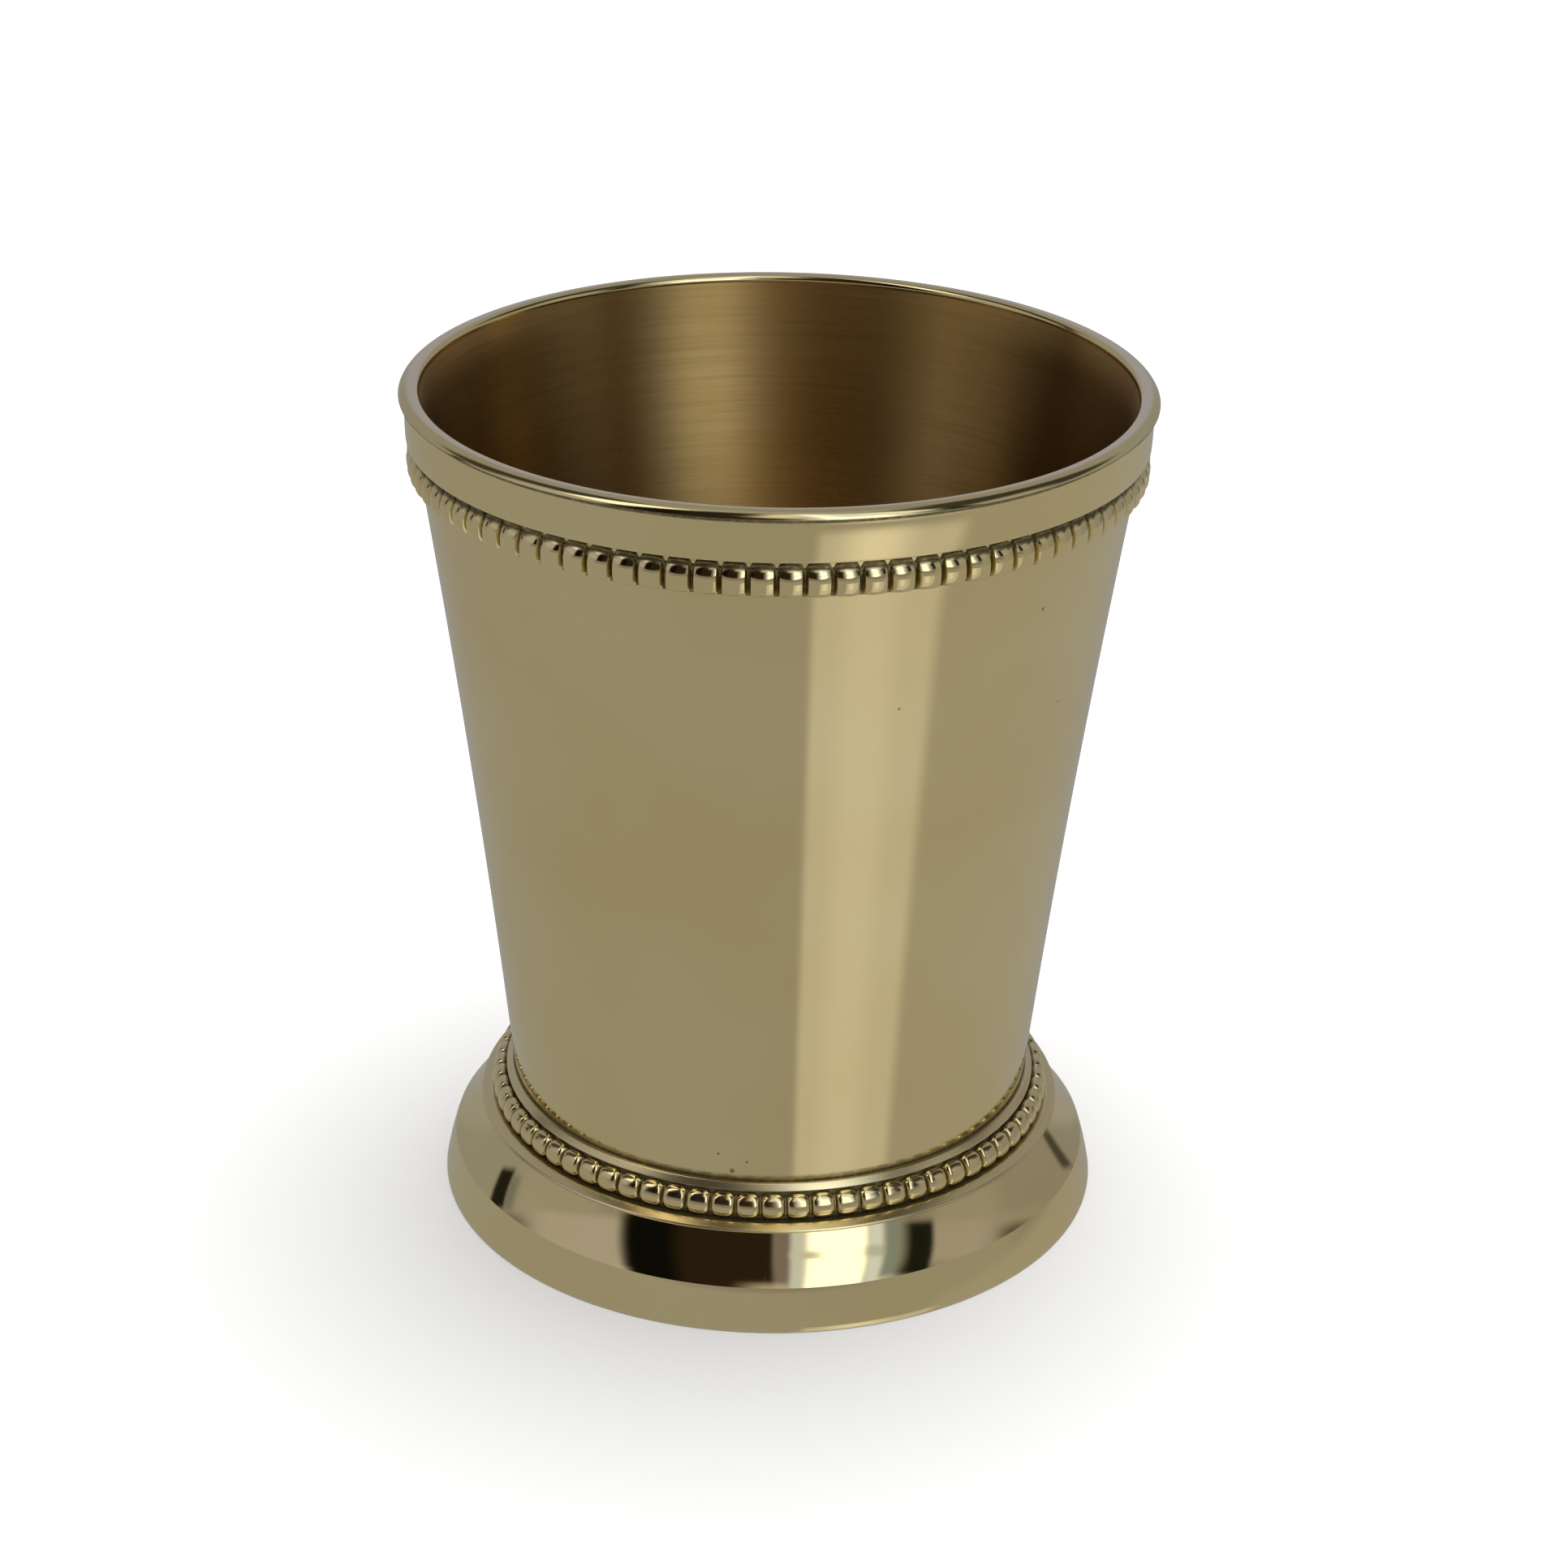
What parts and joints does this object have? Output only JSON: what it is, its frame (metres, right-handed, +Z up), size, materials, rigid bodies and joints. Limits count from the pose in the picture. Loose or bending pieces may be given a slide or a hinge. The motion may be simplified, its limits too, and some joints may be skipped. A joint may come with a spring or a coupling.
{
  "type": "bar jigger",
  "caption": "Small tapered brass measuring cup with a rounded lip, plain band, beaded rim and a flared hollow foot.",
  "frame": {"origin": "centre of the ring that the foot stands on", "axes": "+Z up along the cup's axis, out of the mouth; round about Z, so +X and +Y are free"},
  "size_m": [0.05, 0.05, 0.059],
  "materials": {
    "cup_polish": "polished outside, satin spinning lines inside",
    "lip_polish": "polished, slightly worn on top",
    "band_polish": "polished",
    "bead_polish": "polished crowns, darker grooves",
    "collar_polish": "polished, slightly darker in the channel",
    "foot_polish": "mirror polished",
    "solder": "dull hard solder under the foot"
  },
  "bodies": {
    "root": {"cup_body": "cup_polish", "rim_wire": "lip_polish", "rim_band": "band_polish", "rim_beading": "bead_polish", "foot_collar": "collar_polish", "foot_beading": "bead_polish", "foot_shell": "foot_polish", "foot_band": "foot_polish", "foot_solder": "solder"}
  },
  "joints": []
}
